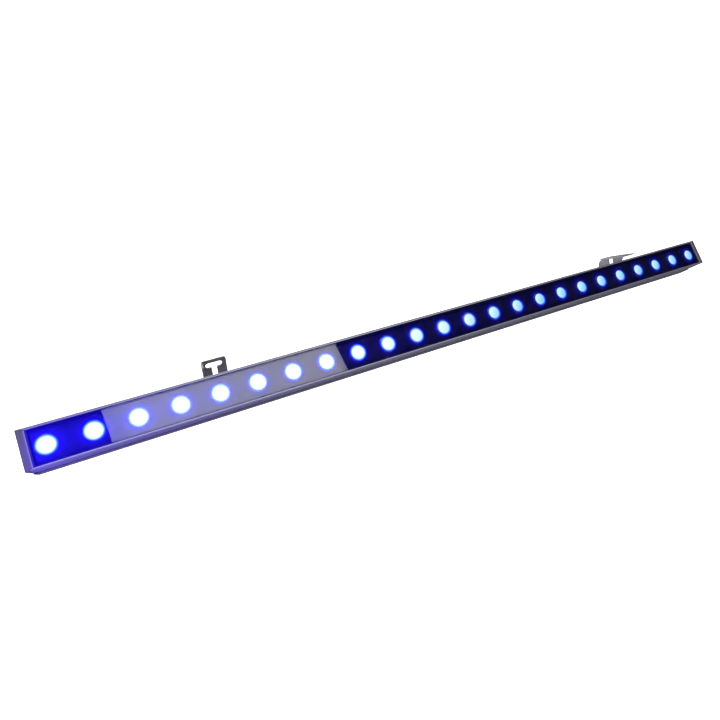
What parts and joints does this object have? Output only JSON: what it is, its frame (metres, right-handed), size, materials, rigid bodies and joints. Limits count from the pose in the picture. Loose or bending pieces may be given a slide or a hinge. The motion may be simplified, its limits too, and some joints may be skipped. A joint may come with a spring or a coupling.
{
  "type": "linear wall washer",
  "caption": "Slim straight bar lamp with a row of round lenses under glass, on two tilting T-slotted wall brackets that slide along a rear channel.",
  "frame": {"origin": "middle of the housing's rear face, on the line of the rear channel", "axes": "+X along the bar, +Z the way the light leaves, +Y towards the wall plates"},
  "size_m": [1.02, 0.0718, 0.0916],
  "materials": {
    "anodised_aluminium": "satin anodised",
    "clear_glass": "polished",
    "silicone": "matt",
    "black_mask": "satin black",
    "lit_lens": "clear moulded, lit blue",
    "black_plastic": "moulded",
    "led_package": "lit",
    "board_white": "solder mask",
    "white_plastic": "moulded",
    "zinc_steel": "zinc plated",
    "tray_steel": "sheet",
    "board_green": "solder mask",
    "wire_red": "insulation",
    "cap_grey": "powder coat",
    "gland_nylon": "moulded nylon",
    "cast_shoe": "die cast",
    "bracket_steel": "grey coat on steel"
  },
  "bodies": {
    "lamp": {"housing": "anodised_aluminium", "front_glass": "clear_glass", "glass_gasket": "silicone", "mask_plate": "black_mask", "lenses": "lit_lens", "lens_holders": "black_plastic", "led_emitters": "led_package", "led_board_left": "board_white", "led_board_right": "board_white", "board_connector": "white_plastic", "board_screws": "zinc_steel", "driver_tray": "tray_steel", "driver_board": "board_green", "driver_components": "black_plastic", "lamp_leads": "wire_red", "supply_wires": "wire_red", "terminal_block": "white_plastic", "end_cap_left": "cap_grey", "end_cap_right": "cap_grey", "end_gasket_left": "silicone", "end_gasket_right": "silicone", "cap_screws_left": "zinc_steel", "cap_screws_right": "zinc_steel", "gland_body": "gland_nylon", "gland_seal": "silicone", "gland_nut": "gland_nylon", "gland_locknut": "gland_nylon", "breather_vent": "gland_nylon"},
    "left_shoe": {"shoe_left": "cast_shoe", "channel_nut_left": "zinc_steel", "shoe_screws_left": "zinc_steel", "pivot_bolt_left": "zinc_steel", "pivot_washer_left": "zinc_steel", "friction_washer_left": "black_plastic", "pivot_nut_left": "zinc_steel"},
    "left_bracket": {"wall_bracket_left": "bracket_steel"},
    "right_shoe": {"shoe_right": "cast_shoe", "channel_nut_right": "zinc_steel", "shoe_screws_right": "zinc_steel", "pivot_bolt_right": "zinc_steel", "pivot_washer_right": "zinc_steel", "friction_washer_right": "black_plastic", "pivot_nut_right": "zinc_steel"},
    "right_bracket": {"wall_bracket_right": "bracket_steel"}
  },
  "joints": [
    {"name": "left_slide", "type": "slide", "parent": "lamp", "child": "left_shoe", "axis": [1, 0, 0], "range_m": [-0.14, 0.2]},
    {"name": "left_tilt", "type": "hinge", "parent": "left_shoe", "child": "left_bracket", "pos_m": [-0.3183, 0, -0.008], "axis": [-1, 0, 0], "range_deg": [-58, 72]},
    {"name": "right_slide", "type": "slide", "parent": "lamp", "child": "right_shoe", "axis": [1, 0, 0], "range_m": [-0.3, 0.1]},
    {"name": "right_tilt", "type": "hinge", "parent": "right_shoe", "child": "right_bracket", "pos_m": [0.346, 0, -0.008], "axis": [-1, 0, 0], "range_deg": [-1.5, 128.5]}
  ]
}
